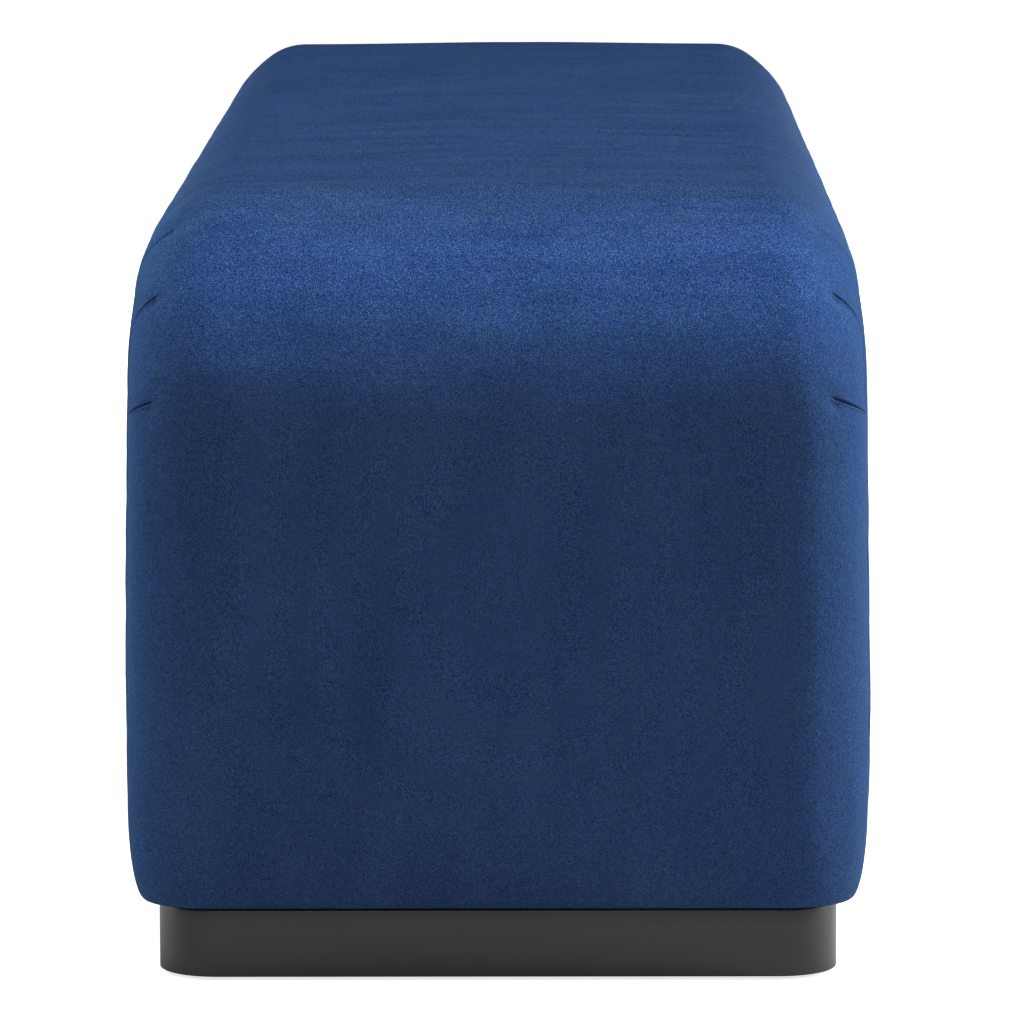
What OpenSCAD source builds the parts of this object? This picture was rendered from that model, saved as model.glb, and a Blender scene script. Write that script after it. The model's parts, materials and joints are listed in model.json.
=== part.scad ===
// Long upholstered bench: a padded block body with rolled top ends on a recessed plinth.
// X runs along the bench, Y across it, Z up. The origin is on the floor under the centre.

/* [Overall size] */
// Length over the crowned ends
bench_l = 1500; // [1000:10:1900]
// Width at the widest level
bench_w = 447; // [400:1:560]
// Height of the seat's middle above the floor
bench_h = 470; // [420:1:520]
// Height of the body's underside above the floor
body_z = 44; // [36:1:70]

/* [Upholstered form] */
// Radius of the rolled top ends
end_r = 134; // [100:1:160]
// Radius of the long top edges
edge_r = 57; // [40:1:60]
// Radius of the upright corners in plan
corner_r = 49; // [32:1:55]
// How far the bottom edge rolls in
roll_w = 10; // [8:1:26]
// Height over which the bottom edge rolls in
roll_h = 60; // [30:1:80]
// Rise of the seat's middle over its edges
seat_crown = 3; // [0:0.5:12]
// Bulge of each end's middle
end_crown = 3; // [1:0.5:8]
// Level at which the body is widest
widest_z = 60; // [50:1:200]
// How far each long side draws in up to the seat
side_draw = 5.9; // [0:0.1:10]

/* [Cover and padding] */
// Thickness of the velvet with its backing
cover_t = 2; // [1.2:0.1:3]
// Thickness of the fibre wadding
wadding_t = 8; // [4:0.5:12]
// Thickness of the seat foam at the edges of the seat
seat_foam_t = 60; // [40:1:80]
// Thickness of the foam on the ends
end_foam_t = 25; // [15:1:40]
// Thickness of the foam on the long sides
side_foam_t = 20; // [12:1:30]
// Clearance between neighbouring soft layers
layer_gap = 0.3; // [0.2:0.05:0.5]
// Distance from the outline to the seam around each side panel
seam_inset = 60; // [45:1:80]
// Width of the seam's groove
seam_gap = 0.4; // [0.2:0.1:1]
// Width of the cover's edge that is turned under the body
flange_w = 40; // [25:1:60]
// How far the seat foam hangs over the carcass edge
foam_lap = 10; // [4:1:20]

/* [Carcass] */
// Thickness of the plywood panels
panel_t = 12; // [9:1:18]
// Thickness of the bent plywood at the rolled ends
curve_t = 6; // [4:0.5:8]
// Outer radius of the bent plywood
curve_r = 70; // [50:1:90]
// Thickness of the upright rails
rail_t = 22; // [18:1:30]
// Height of the upright rails
rail_h = 60; // [45:1:80]
// Side of the square lower rails and posts
square_t = 45; // [35:1:50]
// Side of the corner battens
batten_t = 30; // [20:1:40]
// Width of the boards that take the plinth bolts
bolt_board_w = 70; // [50:1:100]
// Distance from the carcass end to the outer cross rails
cross_inset = 242; // [180:1:320]
// How far the cross rails lie under the webbing
web_drop = 25; // [15:1:40]

/* [Webbing] */
// Width of a strap
strap_w = 50; // [40:1:60]
// Thickness of a strap
strap_t = 1.6; // [1:0.1:2.5]
// Distance between straps
strap_pitch = 92; // [70:1:120]
// Depth of a strap's end in its groove
strap_tuck = 10; // [6:1:14]
// Thickness of the steel clip at a strap's end
clip_t = 1; // [0.8:0.1:1.5]
// Thickness of the cloth over the straps
deck_cloth_t = 1; // [0.5:0.1:2]

/* [Plinth] */
// How far the plinth is set back at the ends
plinth_inset_x = 14; // [8:1:40]
// How far the plinth is set back at the long sides
plinth_inset_y = 19; // [12:1:40]
// Radius of the plinth's corners
plinth_r = 36; // [30:1:50]
// Thickness of the plinth's skirt
skirt_t = 4; // [3:0.5:8]
// Thickness of the plinth's boards
plinth_board_t = 22; // [16:1:25]
// Thickness of the dust cover
dust_t = 0.8; // [0.5:0.1:1.5]
// Distance from the body's outline to the dust cover's edge
dust_inset = 24; // [15:1:50]
// Radius of the dust cover's corners
dust_r = 34; // [20:1:60]
// Height of the glides
glide_h = 2; // [1.5:0.5:6]
// Diameter of the glides
glide_d = 20; // [14:1:22]
// Distance from the plinth's end to the outer glides
glide_inset = 76; // [62:1:200]

/* [Fasteners] */
// Diameter of the plinth bolts
bolt_d = 8; // [6:1:10]
// Distance between the two bolts of a cross board
bolt_span = 200; // [120:10:240]
// Thickness of the bolt washers
washer_t = 1.6; // [1:0.1:2.5]
// Diameter of the bolt washers
washer_d = 24; // [18:1:28]
// Diameter of a wood screw's shank
screw_d = 4; // [3:0.5:5]
// Length of a wood screw
screw_l = 32; // [24:1:32]
// Distance from a long rail's end to its first wood screw
screw_inset = 40; // [25:1:80]
// Greatest distance between the wood screws along a rail
screw_pitch = 300; // [180:10:320]
// Running clearance around shanks, pins and barrels
fit_gap = 0.15; // [0.05:0.05:0.3]

/* [Hidden] */
$fn = 48;

// Colours
velvet = "#24355a";
fibre = "#e9e6dd";
foam = "#efd98a";
plywood = "#cda873";
softwood = "#dcbf8e";
strap_grey = "#4b4a48";
nonwoven = "#1c1c1e";
satin_black = "#232324";
steel = "#9a9da1";
nylon = "#e2e2e0";

// Steps of the form: each arc is split into equal angles
end_steps = 7;
roll_steps = 3;
side_steps = 3;
edge_steps = 4;
crown_steps = 3;
mid_steps = 3;
cap_scale = 0.6;
// Reach of a cut past the face that it opens
cut = 1;

// Insets of the layers from the outer form
wadding_in = cover_t + layer_gap;
foam_in = wadding_in + wadding_t + layer_gap;

// Carcass: its outer faces lie behind the foam
carcass_l = bench_l - 2 * (foam_in + end_foam_t + layer_gap);
carcass_w = bench_w - 2 * (foam_in + side_foam_t + layer_gap);
carcass_z = body_z + cover_t + layer_gap;
foam_under_z = bench_h - seat_crown - foam_in - seat_foam_t;
rail_top = foam_under_z - layer_gap - deck_cloth_t - strap_t;
inner_x = carcass_l / 2 - panel_t;
inner_y = carcass_w / 2 - panel_t;
curve_x = carcass_l / 2 - curve_r;
curve_z = rail_top - curve_r;
lower_top = carcass_z + square_t;
cross_x = carcass_l / 2 - cross_inset;

// Webbing grooves in the long top rails
groove_gap = 0.2;
groove_w = strap_t + clip_t + 3 * groove_gap;
groove_y = inner_y - rail_t / 2;
strap_count = 2 * floor((curve_x - strap_w / 2 - rail_t) / strap_pitch) + 1;

// Plinth
plinth_top = body_z - dust_t;
plinth_hx = bench_l / 2 - plinth_inset_x;
plinth_hy = bench_w / 2 - plinth_inset_y;
board_hx = plinth_hx - skirt_t;
board_hy = plinth_hy - skirt_t;
glide_x = plinth_hx - glide_inset;
glide_y = board_hy - plinth_board_t / 2;
glide_pin_d = 3;
glide_pin_l = 12;

// Bolts, from the underside of the cross boards to the tee nuts on the floor rails
bolt_seat_z = plinth_top - plinth_board_t;
bolt_head_h = 5.3;
bolt_head_d = 14.4;
nut_flange_d = 22;
nut_flange_t = 1.5;
nut_barrel_d = bolt_d + 2.4;
nut_barrel_l = 9;
// Pressed sheet parts have a coarse outline
pressed_sides = 12;
screw_head_d = 2 * screw_d;
screw_head_h = screw_d / 2;
// Screws and pins are small and hidden, so they have few sides
pin_sides = 8;
screw_x = curve_x - rail_t - screw_inset;
screw_gaps = 2 * ceil(screw_x / screw_pitch);
low_screw_z = carcass_z + square_t / 2;
high_screw_z = rail_top - rail_h * 2 / 3;

// Depth of a quarter arc at u from 0 (tangent) to 1 (its end)
function arc_fall(u) = 1 - sqrt(1 - min(1, max(0, u)) ^ 2);
// Half length of the form inset by d, up to where the end starts to bulge
function half_l(d) = bench_l / 2 - end_crown - d;
// Half width at height z
function half_w(z, d) =
    bench_w / 2 - d - side_draw * ((z - widest_z) / (bench_h - widest_z)) ^ 2;
// Height of the seat's edge and of the underside at distance x from the middle
function edge_z(x, d) =
    bench_h - seat_crown - d
    - (end_r - d) * arc_fall((abs(x) - half_l(d) + end_r - d) / (end_r - d));
function roll_in(d) = roll_w - d / 2;
function under_z(x, d) =
    body_z + d
    + (roll_h - d) * arc_fall((abs(x) - half_l(d) + roll_in(d)) / roll_in(d));
// How far the plan's corner takes the side in at x
function corner_in(x, d) =
    (corner_r - d) * arc_fall((abs(x) - half_l(d) + corner_r - d) / (corner_r - d));
// Rise of the seat over its edge
function crown_z(x, u, d) =
    seat_crown * (1 - (abs(x) / half_l(d)) ^ 4) * (1 - u ^ 2) ^ 2;

// Right half of the form's section at x, from the underside's middle to the seat's middle
function half_ring(x, d) =
    let (
        low = under_z(x, d),
        side_low = low + roll_h - d,
        top = edge_z(x, d),
        side_high = top - edge_r + d,
        inset = corner_in(x, d),
        flat = half_w(side_high, d) - inset - edge_r + d
    )
    concat(
        [[0, low]],
        [for (i = [0:roll_steps])
            let (a = 90 * i / roll_steps, z = side_low - (roll_h - d) * cos(a))
            [half_w(side_low, d) - inset - roll_in(d) * (1 - sin(a)), z]],
        [for (i = [1:side_steps - 1])
            let (z = side_low + (side_high - side_low) * i / side_steps)
            [half_w(z, d) - inset, z]],
        [for (i = [0:edge_steps])
            let (a = 90 * i / edge_steps)
            [flat + (edge_r - d) * cos(a), side_high + (edge_r - d) * sin(a)]],
        [for (i = [1:crown_steps])
            let (u = 1 - i / crown_steps)
            [flat * u, top + crown_z(x, u, d)]]
    );
// Whole section at x as points in space, with its left half mirrored
function ring(x, d) =
    let (half = half_ring(x, d), n = len(half))
    concat(
        [for (p = half) [x, p[0], p[1]]],
        [for (i = [n - 2:-1:1]) [x, -half[i][0], half[i][1]]]
    );
// Section drawn in towards its middle to crown the end
function cap_ring(side, d) =
    let (r = ring(side * half_l(d), d), mid = (r[0][2] + end_top(d)) / 2)
    [for (p = r) [
        side * (half_l(d) + end_crown * (1 - cap_scale ^ 2)),
        p[1] * cap_scale,
        mid + (p[2] - mid) * cap_scale
    ]];
function end_top(d) = edge_z(half_l(d), d);
function end_mid(d) = (under_z(half_l(d), d) + end_top(d)) / 2;
// Stations along the bench, from the left end to the right end
function stations(d) =
    let (
        straight = half_l(d) - end_r + d,
        arc = [for (i = [1:end_steps]) straight + (end_r - d) * sin(90 * i / end_steps)]
    )
    concat(
        [for (i = [end_steps - 1:-1:0]) -arc[i]],
        [for (i = [0:mid_steps]) straight * (2 * i / mid_steps - 1)],
        arc
    );

// Closed solid of the upholstered form, inset by d
module form(d) {
    rows = concat([cap_ring(-1, d)], [for (x = stations(d)) ring(x, d)], [cap_ring(1, d)]);
    n = len(rows[0]);
    last = len(rows) * n + 1;
    points = concat(
        [[-bench_l / 2 + d, 0, end_mid(d)]],
        [for (row = rows, p = row) p],
        [[bench_l / 2 - d, 0, end_mid(d)]]
    );
    walls = [for (r = [0:len(rows) - 2], i = [0:n - 1], k = [0, 1])
        let (
            a = 1 + r * n + i,
            b = 1 + r * n + (i + 1) % n
        )
        k == 0 ? [a, a + n, b + n] : [a, b + n, b]];
    left_fan = [for (i = [0:n - 1]) [0, 1 + i, 1 + (i + 1) % n]];
    right_fan = [for (i = [0:n - 1]) [last, last - n + (i + 1) % n, last - n + i]];
    polyhedron(points, concat(left_fan, walls, right_fan));
}

// Straight board between two opposite corners
module board(low, high) {
    translate(low) cube(high - low);
}

// Places a child at both signs of a distance along Y
module both_y(y) {
    for (s = [-1, 1]) translate([0, s * y, 0]) children();
}

// Side outline with rounded top corners, drawn in X and Z
module arch_2d(half, low, top, r) {
    translate([-half, low]) square([2 * half, top - r - low]);
    translate([-half + r, low]) square([2 * (half - r), top - low]);
    for (s = [-1, 1]) translate([s * (half - r), top - r]) circle(r);
}
module across(half_y) {
    rotate([90, 0, 0]) translate([0, 0, -half_y]) linear_extrude(2 * half_y) children();
}

// Rounded rectangle in plan
module plan_2d(hx, hy, r) {
    square([2 * (hx - r), 2 * hy], center = true);
    square([2 * hx, 2 * (hy - r)], center = true);
    for (sx = [-1, 1], sy = [-1, 1]) translate([sx * (hx - r), sy * (hy - r)]) circle(r);
}

// Cover: a thin shell of the form, open under the body inside its turned edge
module cover_shell() {
    open_x = half_l(0) - roll_w - flange_w;
    open_y = bench_w / 2 - roll_w - flange_w;
    difference() {
        form(0);
        form(cover_t);
        board([-open_x, -open_y, body_z - cut], [open_x, open_y, carcass_z + cut]);
    }
}
// Space of one long side's panel inside its seam
module side_zone(side, inset) {
    mid_y = bench_w / 2 - roll_w - flange_w - cut;
    intersection() {
        across(bench_w)
            arch_2d(half_l(0) - inset, 0, bench_h - seat_crown - inset, end_r - inset);
        translate([0, side * (mid_y + bench_w / 2), bench_h / 2])
            cube([bench_l, bench_w, bench_h], center = true);
    }
}
module cover_wrap() {
    color(velvet) difference() {
        cover_shell();
        for (s = [-1, 1]) side_zone(s, seam_inset - seam_gap);
    }
}
module cover_side(side) {
    color(velvet) intersection() {
        cover_shell();
        side_zone(side, seam_inset);
    }
}

// Carcass with its deck as one block, grown by a clearance, for the padding to fit over
module carcass_block(grow) {
    deck_top = foam_under_z - layer_gap;
    across(carcass_w / 2 + grow)
        arch_2d(carcass_l / 2 + grow, 0, deck_top + grow, curve_r + grow);
}
module wadding() {
    color(fibre) difference() {
        form(wadding_in);
        form(foam_in - layer_gap);
        carcass_block(layer_gap);
    }
}
module foam_shell() {
    difference() {
        form(foam_in);
        carcass_block(layer_gap);
    }
}
foam_split = rail_top - foam_lap;
module seat_foam() {
    color(foam) intersection() {
        foam_shell();
        board([-bench_l, -bench_w, foam_split], [bench_l, bench_w, bench_h]);
    }
}
module side_foam(side) {
    color(foam) intersection() {
        foam_shell();
        translate([0, side * (carcass_w / 2 + layer_gap / 2), 0]) mirror([0, side < 0 ? 1 : 0, 0])
            board([-carcass_l / 2, 0, 0], [carcass_l / 2, bench_w, foam_split - layer_gap]);
    }
}
module end_foam(side) {
    color(foam) difference() {
        intersection() {
            foam_shell();
            mirror([side < 0 ? 1 : 0, 0, 0])
                board([curve_x - cut, -bench_w, 0], [bench_l, bench_w, foam_split - layer_gap]);
        }
        for (s = [0, 1]) mirror([0, s, 0])
            board(
                [-carcass_l / 2 - layer_gap, carcass_w / 2, 0],
                [carcass_l / 2 + layer_gap, bench_w, bench_h]
            );
    }
}

// Webbing straps with their ends tucked down into the grooves of the long top rails
strap_leg_y = groove_y - groove_w / 2 + groove_gap + strap_t / 2;
module at_straps() {
    for (i = [0:strap_count - 1])
        translate([(i - (strap_count - 1) / 2) * strap_pitch, 0, 0]) children();
}
module webbing() {
    color(strap_grey) at_straps() {
        board(
            [-strap_w / 2, -strap_leg_y - strap_t / 2, rail_top],
            [strap_w / 2, strap_leg_y + strap_t / 2, rail_top + strap_t]
        );
        both_y(strap_leg_y)
            board([-strap_w / 2, -strap_t / 2, rail_top - strap_tuck], [strap_w / 2, strap_t / 2, rail_top]);
    }
}
module webbing_clips() {
    clip_y = strap_leg_y + strap_t / 2 + groove_gap + clip_t / 2;
    color(steel) at_straps() both_y(clip_y)
        board([-strap_w / 2, -clip_t / 2, rail_top - strap_tuck], [strap_w / 2, clip_t / 2, rail_top]);
}
module deck_cloth() {
    low = rail_top + strap_t;
    color(nonwoven)
        board([-curve_x, -carcass_w / 2, low], [curve_x, carcass_w / 2, low + deck_cloth_t]);
}

// Places of the wood screws: through the side panels along the upper and lower rails
module at_panel_screws() {
    for (i = [0:screw_gaps], z = [low_screw_z, high_screw_z])
        translate([screw_x * (2 * i / screw_gaps - 1), 0, z]) children();
}
// Screw lying along Y with its head's face at y = 0 and its tip at -screw_l
module screw(grow) {
    rotate([90, 0, 0]) {
        cylinder(h = screw_l + grow, d = screw_d + 2 * grow, $fn = pin_sides);
        translate([0, 0, -grow])
            cylinder(h = screw_head_h + 2 * grow, d = screw_head_d + 2 * grow, $fn = pin_sides);
    }
}
module panel_screws(side, grow) {
    mirror([0, side < 0 ? 1 : 0, 0]) translate([0, carcass_w / 2, 0]) at_panel_screws() screw(grow);
}
module frame_screws() {
    color(steel) for (s = [-1, 1]) panel_screws(s, 0);
}

// Bent plywood: a quarter ring that lies in notches of the side panels
module curve_2d(grow) {
    translate([curve_x, curve_z]) intersection() {
        difference() {
            circle(curve_r + grow);
            circle(curve_r - curve_t - grow);
        }
        square(2 * curve_r);
    }
}
module end_curve(side) {
    color(plywood) mirror([side < 0 ? 1 : 0, 0, 0]) across(carcass_w / 2) curve_2d(0);
}
module side_panel(side) {
    color(plywood) difference() {
        translate([0, side * (carcass_w - panel_t) / 2, 0]) across(panel_t / 2) difference() {
            arch_2d(carcass_l / 2, carcass_z, rail_top, curve_r);
            for (m = [0, 1]) mirror([m, 0]) curve_2d(groove_gap);
        }
        panel_screws(side, fit_gap);
    }
}
module end_panel(side) {
    color(plywood) mirror([side < 0 ? 1 : 0, 0, 0])
        board([inner_x, -inner_y, carcass_z], [carcass_l / 2, inner_y, curve_z]);
}

// Upper frame
module top_rail(side) {
    color(softwood) difference() {
        mirror([0, side < 0 ? 1 : 0, 0]) difference() {
            board(
                [-curve_x + rail_t, inner_y - rail_t, rail_top - rail_h],
                [curve_x - rail_t, inner_y, rail_top]
            );
            board(
                [-bench_l, groove_y - groove_w / 2, rail_top - strap_tuck - groove_gap],
                [bench_l, groove_y + groove_w / 2, rail_top + cut]
            );
        }
        panel_screws(side, fit_gap);
    }
}
module top_end_rail(side) {
    color(softwood) mirror([side < 0 ? 1 : 0, 0, 0])
        board([curve_x - rail_t, -inner_y, rail_top - rail_h], [curve_x, inner_y, rail_top]);
}
module cross_rail(place) {
    reach = inner_y - rail_t;
    color(softwood) translate([place * cross_x, 0, 0])
        board(
            [-rail_t / 2, -reach, rail_top - web_drop - rail_h],
            [rail_t / 2, reach, rail_top - web_drop]
        );
}

// Lower frame
module bottom_rail(side) {
    color(softwood) difference() {
        mirror([0, side < 0 ? 1 : 0, 0])
            board([-inner_x, inner_y - square_t, carcass_z], [inner_x, inner_y, lower_top]);
        panel_screws(side, fit_gap);
    }
}
module bottom_end_rail(side) {
    reach = inner_y - square_t;
    color(softwood) mirror([side < 0 ? 1 : 0, 0, 0])
        board([inner_x - square_t, -reach, carcass_z], [inner_x, reach, lower_top]);
}
module floor_rail(place) {
    reach = inner_y - square_t;
    color(softwood) difference() {
        translate([place * cross_x, 0, 0])
            board([-bolt_board_w / 2, -reach, carcass_z], [bolt_board_w / 2, reach, lower_top]);
        at_bolts() bolt_hole();
        at_bolts() translate([0, 0, lower_top - nut_barrel_l])
            cylinder(h = nut_barrel_l + cut, d = nut_barrel_d + 2 * fit_gap);
    }
}
module post(sx, sy) {
    color(softwood) mirror([sx < 0 ? 1 : 0, 0, 0]) mirror([0, sy < 0 ? 1 : 0, 0])
        board(
            [curve_x - square_t, inner_y - square_t, lower_top],
            [curve_x, inner_y, rail_top - rail_h]
        );
}
module batten(sx, sy) {
    color(softwood) mirror([sx < 0 ? 1 : 0, 0, 0]) mirror([0, sy < 0 ? 1 : 0, 0])
        board(
            [inner_x - batten_t, inner_y - batten_t, lower_top],
            [inner_x, inner_y, curve_z]
        );
}

// Bolts at the two outer cross boards
module bolt_hole() {
    cylinder(h = bench_h, d = bolt_d + 2 * fit_gap);
}
module at_bolts() {
    for (place = [-1, 1], side = [-1, 1])
        translate([place * cross_x, side * bolt_span / 2, 0]) children();
}
module plinth_bolts() {
    head_z = bolt_seat_z - washer_t;
    color(steel) at_bolts() {
        translate([0, 0, head_z - bolt_head_h]) cylinder(h = bolt_head_h, d = bolt_head_d, $fn = 6);
        translate([0, 0, head_z]) cylinder(h = lower_top - head_z, d = bolt_d);
    }
}
module plinth_washers() {
    color(steel) at_bolts() translate([0, 0, bolt_seat_z - washer_t]) difference() {
        cylinder(h = washer_t, d = washer_d);
        translate([0, 0, -cut]) cylinder(h = washer_t + 2 * cut, d = bolt_d + 2 * fit_gap);
    }
}
module tee_nuts() {
    color(steel) at_bolts() translate([0, 0, lower_top]) difference() {
        union() {
            cylinder(h = nut_flange_t, d = nut_flange_d, $fn = pressed_sides);
            translate([0, 0, -nut_barrel_l])
                cylinder(h = nut_barrel_l, d = nut_barrel_d, $fn = pressed_sides);
        }
        translate([0, 0, -nut_barrel_l - cut])
            cylinder(h = nut_barrel_l + nut_flange_t + 2 * cut, d = bolt_d + 2 * fit_gap);
    }
}

// Underside and plinth
module dust_cover() {
    hole_d = bolt_d + 2;
    color(nonwoven) difference() {
        translate([0, 0, plinth_top]) linear_extrude(dust_t)
            plan_2d(half_l(0) - dust_inset, bench_w / 2 - dust_inset, dust_r);
        at_bolts() cylinder(h = bench_h, d = hole_d, $fn = pressed_sides);
    }
}
module plinth_skirt() {
    color(satin_black) translate([0, 0, glide_h]) linear_extrude(plinth_top - glide_h) difference() {
        plan_2d(plinth_hx, plinth_hy, plinth_r);
        plan_2d(board_hx, board_hy, plinth_r - skirt_t);
    }
}
module at_glides() {
    for (place = [-1, 0, 1], s = [-1, 1])
        translate([place * glide_x, s * glide_y, 0]) children();
}
module glide_pin(grow) {
    cylinder(h = glide_h + glide_pin_l + grow, d = glide_pin_d + 2 * grow, $fn = pin_sides);
}
module plinth_rail(side) {
    color(softwood) difference() {
        mirror([0, side < 0 ? 1 : 0, 0])
            board(
                [-plinth_hx + plinth_r, board_hy - plinth_board_t, glide_h],
                [plinth_hx - plinth_r, board_hy, plinth_top]
            );
        at_glides() glide_pin(fit_gap);
    }
}
module plinth_end_rail(side) {
    reach = plinth_hy - plinth_r;
    color(softwood) mirror([side < 0 ? 1 : 0, 0, 0])
        board([board_hx - plinth_board_t, -reach, glide_h], [board_hx, reach, plinth_top]);
}
module plinth_cross_rail(place) {
    reach = board_hy - plinth_board_t;
    color(softwood) difference() {
        translate([place * cross_x, 0, 0])
            board([-bolt_board_w / 2, -reach, bolt_seat_z], [bolt_board_w / 2, reach, plinth_top]);
        at_bolts() bolt_hole();
    }
}
module plinth_corner(sx, sy) {
    block_r = plinth_r - skirt_t - layer_gap;
    color(softwood) mirror([sx < 0 ? 1 : 0, 0, 0]) mirror([0, sy < 0 ? 1 : 0, 0])
        translate([plinth_hx - plinth_r, plinth_hy - plinth_r, glide_h])
            linear_extrude(plinth_top - glide_h) intersection() {
                circle(block_r);
                square(block_r);
            }
}
module glides() {
    color(nylon) at_glides() {
        cylinder(h = glide_h, d = glide_d);
        glide_pin(0);
    }
}

cover_wrap();
cover_side(-1);  // cover_side_front
cover_side(1);  // cover_side_back
wadding();
seat_foam();
end_foam(-1);  // end_foam_left
end_foam(1);  // end_foam_right
side_foam(-1);  // side_foam_front
side_foam(1);  // side_foam_back
deck_cloth();
webbing();
webbing_clips();
side_panel(-1);  // side_panel_front
side_panel(1);  // side_panel_back
end_panel(-1);  // end_panel_left
end_panel(1);  // end_panel_right
end_curve(-1);  // end_curve_left
end_curve(1);  // end_curve_right
top_rail(-1);  // top_rail_front
top_rail(1);  // top_rail_back
top_end_rail(-1);  // top_end_rail_left
top_end_rail(1);  // top_end_rail_right
cross_rail(-1);  // cross_rail_left
cross_rail(0);  // cross_rail_middle
cross_rail(1);  // cross_rail_right
bottom_rail(-1);  // bottom_rail_front
bottom_rail(1);  // bottom_rail_back
bottom_end_rail(-1);  // bottom_end_rail_left
bottom_end_rail(1);  // bottom_end_rail_right
floor_rail(-1);  // floor_rail_left
floor_rail(0);  // floor_rail_middle
floor_rail(1);  // floor_rail_right
post(-1, -1);  // post_front_left
post(1, -1);  // post_front_right
post(-1, 1);  // post_back_left
post(1, 1);  // post_back_right
batten(-1, -1);  // batten_front_left
batten(1, -1);  // batten_front_right
batten(-1, 1);  // batten_back_left
batten(1, 1);  // batten_back_right
dust_cover();
plinth_skirt();
plinth_rail(-1);  // plinth_rail_front
plinth_rail(1);  // plinth_rail_back
plinth_end_rail(-1);  // plinth_end_rail_left
plinth_end_rail(1);  // plinth_end_rail_right
plinth_cross_rail(-1);  // plinth_cross_rail_left
plinth_cross_rail(0);  // plinth_cross_rail_middle
plinth_cross_rail(1);  // plinth_cross_rail_right
plinth_corner(-1, -1);  // plinth_corner_front_left
plinth_corner(1, -1);  // plinth_corner_front_right
plinth_corner(-1, 1);  // plinth_corner_back_left
plinth_corner(1, 1);  // plinth_corner_back_right
plinth_bolts();
plinth_washers();
tee_nuts();
frame_screws();
glides();
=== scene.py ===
import json
import math
import bpy
import numpy as np
from mathutils import Matrix, Vector


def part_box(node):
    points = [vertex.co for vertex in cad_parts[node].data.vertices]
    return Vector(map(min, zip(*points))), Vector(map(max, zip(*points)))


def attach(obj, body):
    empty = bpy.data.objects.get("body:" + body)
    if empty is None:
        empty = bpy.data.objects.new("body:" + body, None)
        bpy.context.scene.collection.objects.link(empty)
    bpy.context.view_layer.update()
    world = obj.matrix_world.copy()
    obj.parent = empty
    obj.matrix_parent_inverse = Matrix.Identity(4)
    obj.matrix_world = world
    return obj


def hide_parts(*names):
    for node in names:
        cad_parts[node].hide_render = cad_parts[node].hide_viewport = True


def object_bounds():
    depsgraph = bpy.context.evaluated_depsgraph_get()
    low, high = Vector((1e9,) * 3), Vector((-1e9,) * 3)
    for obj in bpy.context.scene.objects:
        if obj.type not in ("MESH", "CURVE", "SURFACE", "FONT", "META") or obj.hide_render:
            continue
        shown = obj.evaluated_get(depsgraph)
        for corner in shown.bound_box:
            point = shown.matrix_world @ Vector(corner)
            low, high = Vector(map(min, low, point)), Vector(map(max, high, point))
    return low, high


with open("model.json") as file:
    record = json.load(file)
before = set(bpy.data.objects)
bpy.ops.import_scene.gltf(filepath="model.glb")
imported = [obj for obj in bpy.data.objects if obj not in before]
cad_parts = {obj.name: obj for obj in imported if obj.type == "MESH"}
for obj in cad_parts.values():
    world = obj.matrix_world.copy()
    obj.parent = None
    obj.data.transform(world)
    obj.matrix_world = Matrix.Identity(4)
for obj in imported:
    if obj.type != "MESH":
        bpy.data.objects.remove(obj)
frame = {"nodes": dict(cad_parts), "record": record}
cad_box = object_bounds()
nodes = frame["nodes"]

# The form's size, from the frame; all sizes are in metres
LENGTH = cad_box[1].x - cad_box[0].x
WIDTH = cad_box[1].y - cad_box[0].y
HEIGHT = cad_box[1].z
BODY_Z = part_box("cover_wrap")[0].z

# Radii of the rolled ends, of the long edges, and of the upright corners at their top and foot
END_R = 0.134
EDGE_R = 0.057
CORNER_HIGH_R = 0.048
CORNER_LOW_R = 0.049
# Rolled bottom edge: width, height and length as a share of their sum, and the cloth turned under it
ROLL_W = 0.010
ROLL_H = 0.060
ROLL_TURN = 0.8
FLANGE = 0.040
# Crown of the seat and of the ends, and how far the sides draw in above their widest height
SEAT_CROWN = 0.003
END_CROWN = 0.003
WIDEST_Z = 0.060
SIDE_DRAW = 0.0057
# Seams of the side panels: distance inside the outline, radius of their edge, and cloth turned in behind
SEAM_DEPTH = 0.060
SEAM_R = 0.0022
TUCK_IN = 0.009

# Path of the wrap from the seat's middle down the end: where its stretches begin
END_X = LENGTH / 2 - END_CROWN
EDGE_Z = HEIGHT - SEAT_CROWN
ROLL_Z = BODY_Z + ROLL_H
ARC_S = END_X - END_R
FACE_S = ARC_S + END_R * math.pi / 2
ROLL_S = FACE_S + EDGE_Z - END_R - ROLL_Z
FLANGE_S = ROLL_S + ROLL_TURN * (ROLL_W + ROLL_H)
LAST_S = FLANGE_S + FLANGE
# Half the flat width of the seat, and the way across the wrap from its middle to its seam
HALF_FLAT = WIDTH / 2 - EDGE_R
HALF_ACROSS = HALF_FLAT + EDGE_R * math.pi / 2 + SEAM_DEPTH - EDGE_R
# Side panels: half length, height of the upper seam and radius of its turns
SIDE_X = END_X - SEAM_DEPTH
SIDE_TOP = EDGE_Z - SEAM_DEPTH
ARCH_R = END_R - SEAM_DEPTH

# Steps between the points of the velvet, and of the plainer form that carries the wadding: along the path
# and round the edge, then as a share of the flat half, then as numbers of points on a side panel
FINE = dict(top=0.012, arc=0.0022, face=0.006, fall=0.003, edge=0.0026, flat=0.025, arch=26, rise=36)
COARSE = dict(top=0.030, arc=0.012, face=0.020, fall=0.009, edge=0.011, flat=0.08, arch=9, rise=15)
# Step over the cloth under the body, and columns of a side panel round its bottom edge
UNDER_STEP = 0.010
ROLL_COLUMNS = 14
# Columns over the flat half: the step by its middle, and the share where the step above takes over
FLAT_STEP = 0.075
FLAT_SHARE = 0.75
# The closer rows of a rolled end begin before it and end after it
ARC_LEAD = 0.07
ARC_TAIL = 0.03
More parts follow.
